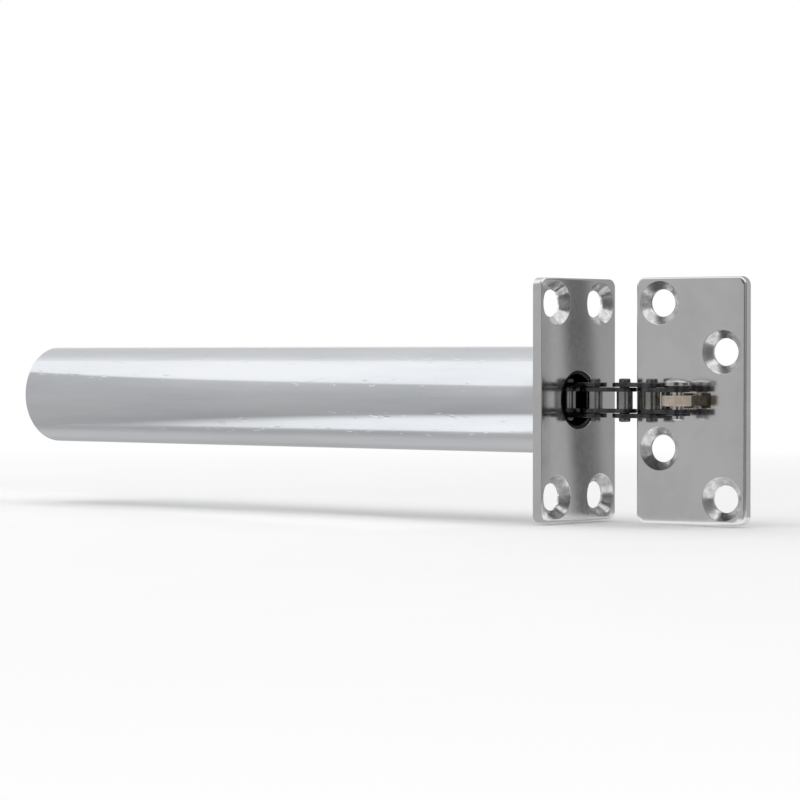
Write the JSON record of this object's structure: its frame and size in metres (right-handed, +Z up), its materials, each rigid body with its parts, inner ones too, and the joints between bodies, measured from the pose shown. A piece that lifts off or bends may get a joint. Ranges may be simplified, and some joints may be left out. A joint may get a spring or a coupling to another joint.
{
  "type": "concealed door closer",
  "caption": "Concealed chain-spring door closer: a plated tube for the door edge with a face plate, and a short chain to a slotted anchor plate on the frame.",
  "frame": {"origin": "centre of the body plate's seat face, where the tube's axis crosses the door edge", "axes": "+X out of the door edge along the tube's axis, +Z up along the plates' long side, the tube runs along -X"},
  "size_m": [0.2201, 0.0286, 0.057],
  "materials": {
    "tube_plating": "bright zinc plate, satin",
    "plate_chrome": "polished chrome plate",
    "dark_bush": "blackened steel",
    "buffer_rubber": "matt black rubber",
    "spring_steel": "oiled spring wire",
    "inner_steel": "turned steel",
    "ring_nylon": "natural nylon",
    "chain_plate": "dark oiled steel",
    "chain_bush": "ground steel",
    "chain_pin": "riveted dark steel",
    "pin_plating": "plated steel",
    "tongue_brass": "dull yellow passivated"
  },
  "bodies": {
    "housing": {"cylinder_tube": "tube_plating", "body_plate": "plate_chrome", "guide_bush": "dark_bush", "end_cap": "tube_plating", "return_buffer": "buffer_rubber", "main_spring": "spring_steel"},
    "piston": {"piston": "inner_steel", "piston_ring": "ring_nylon", "thrust_washer": "inner_steel", "adjusting_nut": "inner_steel"},
    "chain_tail": {"draw_rod": "inner_steel", "stop_nut": "inner_steel", "tail_inner_plates": "chain_plate", "tail_outer_plates": "chain_plate", "tail_bushes": "chain_bush", "tail_pins": "chain_pin"},
    "link_1": {"link_1_upper_plate": "chain_plate", "link_1_lower_plate": "chain_plate", "link_1_pins": "chain_pin"},
    "link_2": {"link_2_upper_plate": "chain_plate", "link_2_lower_plate": "chain_plate", "link_2_bushes": "chain_bush"},
    "link_3": {"link_3_upper_plate": "chain_plate", "link_3_lower_plate": "chain_plate", "link_3_pins": "chain_pin"},
    "end_link": {"end_link_upper_plate": "chain_plate", "end_link_lower_plate": "chain_plate", "end_link_bush": "chain_bush", "end_link_washers": "chain_plate", "anchor_pin": "pin_plating"},
    "tongue": {"anchor_tongue": "tongue_brass", "tongue_cross_pin": "pin_plating"},
    "anchor": {"anchor_plate": "plate_chrome"}
  },
  "joints": [
    {"name": "chain_draw", "type": "slide", "parent": "housing", "child": "piston", "axis": [1, 0, 0], "range_m": [0, 0.05], "stiffness_N_per_m": 1600, "springref_m": -0.03, "deforming": ["main_spring"]},
    {"name": "tension_turn", "type": "hinge", "parent": "piston", "child": "chain_tail", "pos_m": [-0.1475, 0, 0], "axis": [1, 0, 0], "continuous": true},
    {"name": "link_1_pivot", "type": "hinge", "parent": "chain_tail", "child": "link_1", "pos_m": [-0.0007, 0, 0], "axis": [0, 0, -1], "range_deg": [-12, 12]},
    {"name": "link_2_pivot", "type": "hinge", "parent": "link_1", "child": "link_2", "pos_m": [0.0073, -0.00014, 0], "axis": [0, 0, -1], "range_deg": [-25, 25]},
    {"name": "link_3_pivot", "type": "hinge", "parent": "link_2", "child": "link_3", "pos_m": [0.01523, 0.0009, 0], "axis": [0, 0, -1], "range_deg": [-25, 25]},
    {"name": "end_link_pivot", "type": "hinge", "parent": "link_3", "child": "end_link", "pos_m": [0.02323, 0.0007, 0], "axis": [0, 0, -1], "range_deg": [-2, 25]},
    {"name": "tongue_pivot", "type": "hinge", "parent": "end_link", "child": "tongue", "pos_m": [0.03118, -0.00014, 0], "axis": [0, 0, 1], "range_deg": [-115, 1]},
    {"name": "anchor_plate_rock", "type": "hinge", "parent": "tongue", "child": "anchor", "pos_m": [0.02999, 0.00959, 0], "axis": [0, 0, 1], "range_deg": [-14, 1]}
  ]
}
